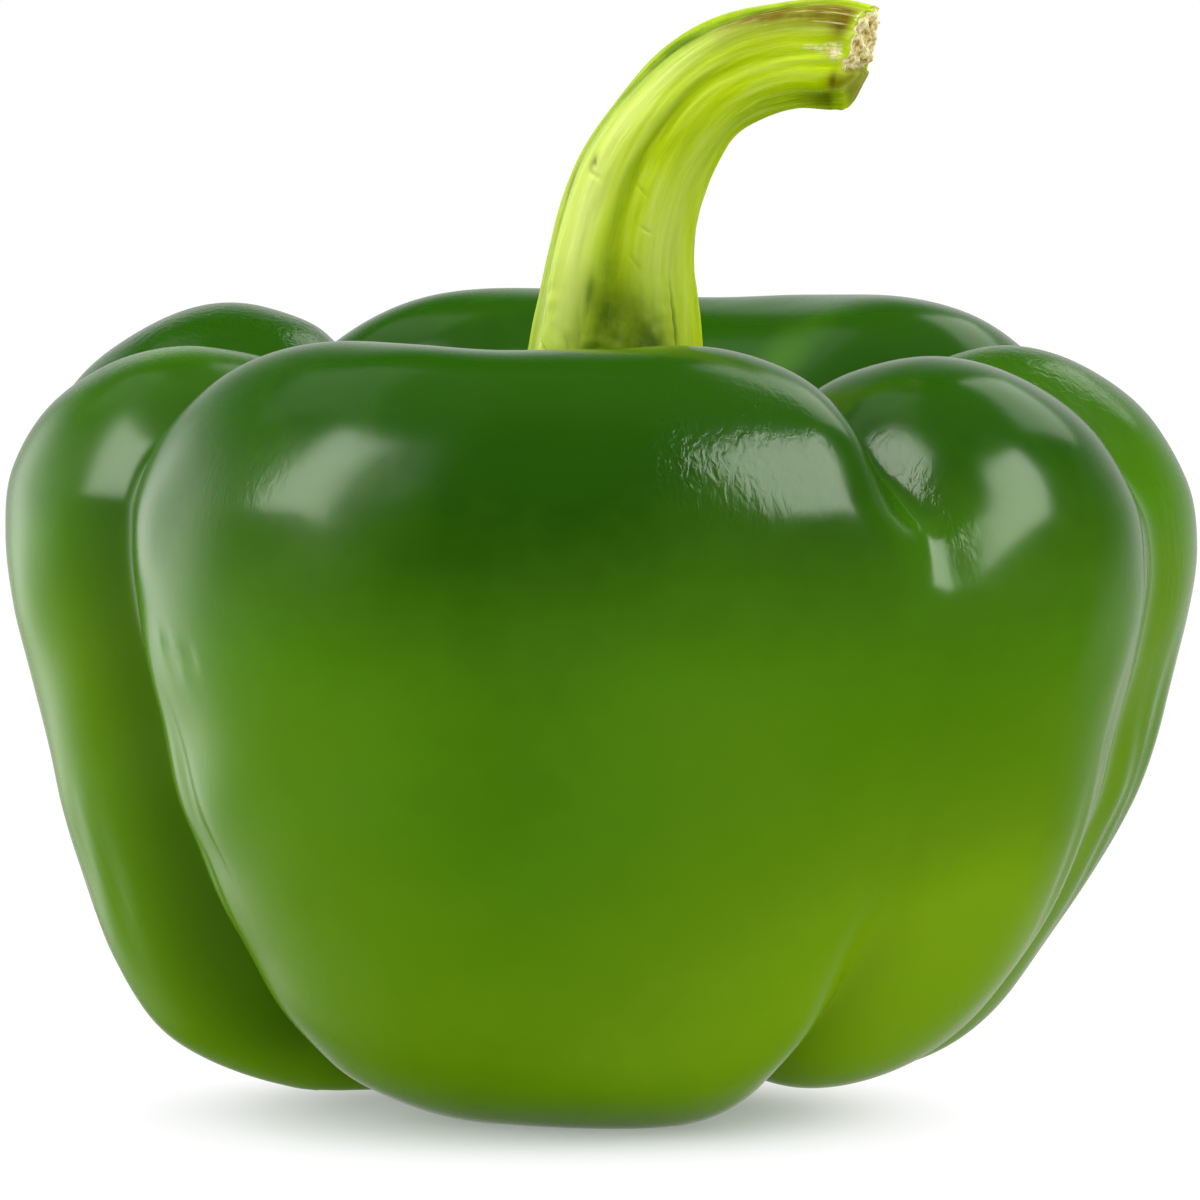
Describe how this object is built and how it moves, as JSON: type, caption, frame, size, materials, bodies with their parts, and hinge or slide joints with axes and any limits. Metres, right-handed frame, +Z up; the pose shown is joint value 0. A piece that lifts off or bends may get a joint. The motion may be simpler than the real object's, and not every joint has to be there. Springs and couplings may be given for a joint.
{
  "type": "bell pepper",
  "caption": "Green bell pepper, whole and squat with uneven lobes, standing upright with its calyx and a thick curved stem.",
  "frame": {"origin": "on the surface that the pepper stands on, below the middle of its bounding box", "axes": "+Z up along the pepper's own axis, +X to the side that the stem bends to, -Y to the broad front lobe"},
  "size_m": [0.0956, 0.0916, 0.0878],
  "materials": {
    "skin": "smooth waxy skin with a soft gloss, dark green above and yellower below",
    "calyx": "satin green leaf tissue with fine ribs",
    "stem": "satin yellow-green, ribbed lengthwise, with a dry fibrous cut end"
  },
  "bodies": {
    "root": {"fruit": "skin", "calyx": "calyx", "stem": "stem"}
  },
  "joints": []
}
